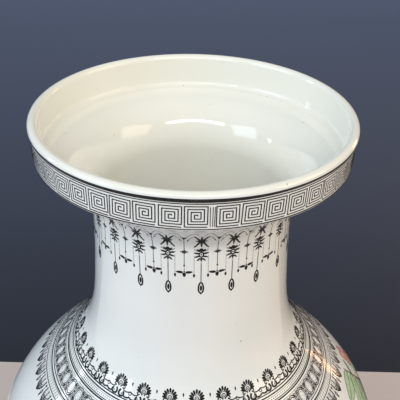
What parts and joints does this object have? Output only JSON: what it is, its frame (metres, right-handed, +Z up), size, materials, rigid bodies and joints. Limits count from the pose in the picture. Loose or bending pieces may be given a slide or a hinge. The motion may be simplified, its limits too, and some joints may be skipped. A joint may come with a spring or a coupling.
{
  "type": "dish-mouth vase",
  "caption": "Tall porcelain vase with a dish mouth on an upright rim, a waisted neck, a swelling shoulder and a body tapering to a turned foot.",
  "frame": {"origin": "centre of the plane of the foot ring, which the vase stands on", "axes": "+Z up along the axis of the vase, from foot to mouth"},
  "size_m": [0.293, 0.293, 0.586],
  "materials": {
    "glazed_porcelain": "gloss",
    "luting_slip": "matte"
  },
  "bodies": {
    "root": {"base_section": "glazed_porcelain", "lower_body": "glazed_porcelain", "flank": "glazed_porcelain", "belly": "glazed_porcelain", "shoulder": "glazed_porcelain", "neck": "glazed_porcelain", "dish_mouth": "glazed_porcelain", "slip_under_lower_body": "luting_slip", "slip_under_flank": "luting_slip", "slip_under_belly": "luting_slip", "slip_under_shoulder": "luting_slip", "slip_under_neck": "luting_slip", "slip_under_dish": "luting_slip"}
  },
  "joints": []
}
